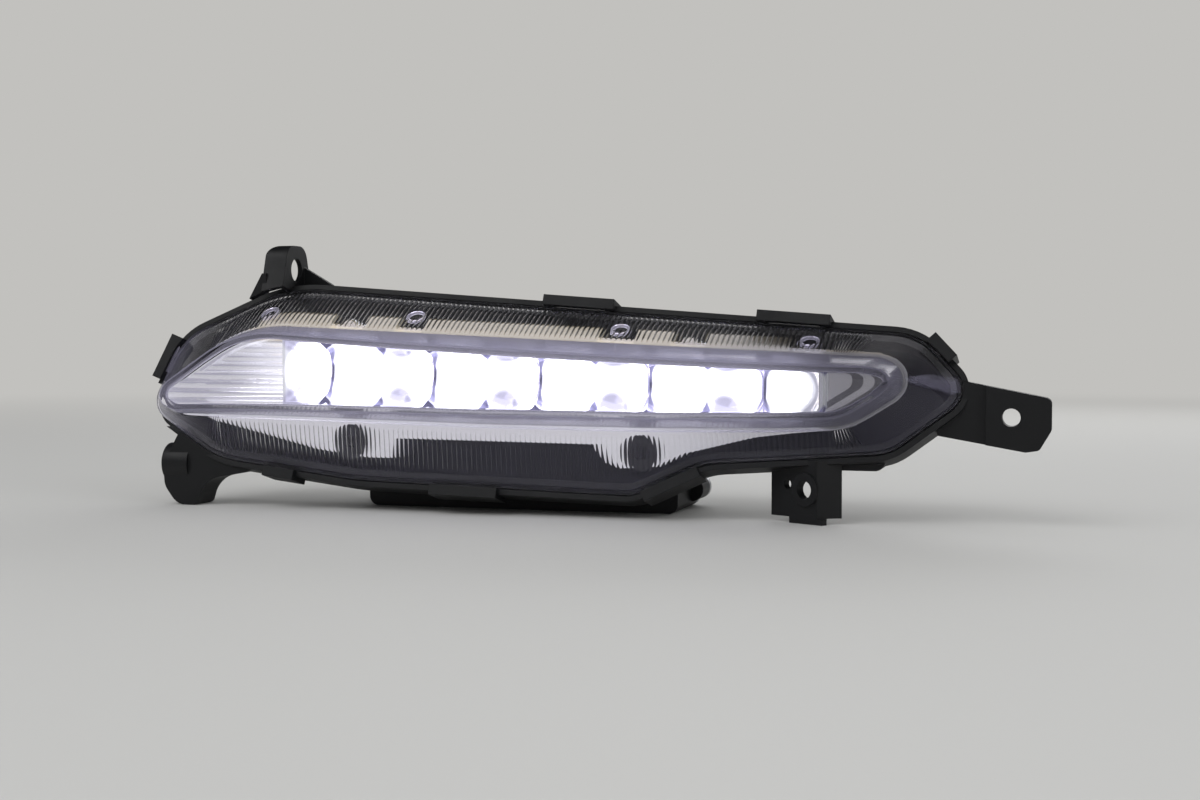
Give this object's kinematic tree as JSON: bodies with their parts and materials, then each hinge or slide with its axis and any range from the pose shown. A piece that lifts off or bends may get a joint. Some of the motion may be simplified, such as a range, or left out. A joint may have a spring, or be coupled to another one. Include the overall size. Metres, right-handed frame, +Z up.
{
  "type": "daytime running light",
  "caption": "Slim car daytime running light: clear raised lens over metallised reflector bowls, black housing with fixing lugs, and a finned driver box behind.",
  "frame": {"origin": "middle of the lamp's bounding box in plan, on the surface it stands on", "axes": "+X along the lamp towards the fixing arm, -Y towards the lit front, +Z up"},
  "size_m": [0.3754, 0.0932, 0.1106],
  "materials": {
    "housing_black": "fine grained black moulding",
    "lens_clear": "clear hard-coated polycarbonate",
    "seal_grey": "soft matt bead",
    "rubber_black": "soft matt moulding",
    "bezel_metallised": "bright vacuum metallised plastic",
    "reflector_metallised": "bright vacuum metallised plastic",
    "screw_zinc": "zinc plated",
    "screw_black": "black coated steel",
    "board_white": "white solder mask on aluminium core",
    "led_package": "white moulded package",
    "led_dome": "lit silicone dome",
    "pad_grey": "filled silicone sheet",
    "sink_aluminium": "extruded",
    "header_natural": "natural nylon",
    "lead_black": "sheathed lead",
    "board_green": "green solder mask on glass laminate",
    "chip_black": "moulded epoxy",
    "ferrite_grey": "sintered ferrite",
    "can_aluminium": "drawn can",
    "cover_aluminium": "die cast",
    "socket_grey": "glass filled nylon",
    "pin_brass": "tinned over brass"
  },
  "bodies": {
    "root": {"housing": "housing_black", "outer_lens": "lens_clear", "lens_seal": "seal_grey", "vent_cap": "rubber_black", "bezel": "bezel_metallised", "bezel_screws": "screw_black", "reflector": "reflector_metallised", "reflector_screws": "screw_zinc", "led_board": "board_white", "led_packages": "led_package", "led_domes": "led_dome", "thermal_pad": "pad_grey", "heat_sink": "sink_aluminium", "board_screws": "screw_zinc", "led_header": "header_natural", "led_lead": "lead_black", "lead_grommet": "rubber_black", "driver_board": "board_green", "driver_header": "header_natural", "driver_chip": "chip_black", "driver_inductor": "ferrite_grey", "driver_mosfets": "chip_black", "driver_capacitors": "can_aluminium", "driver_board_screws": "screw_zinc", "cover_gasket": "seal_grey", "rear_cover": "cover_aluminium", "cover_screws": "screw_zinc", "connector_socket": "socket_grey", "connector_pins": "pin_brass"}
  },
  "joints": []
}
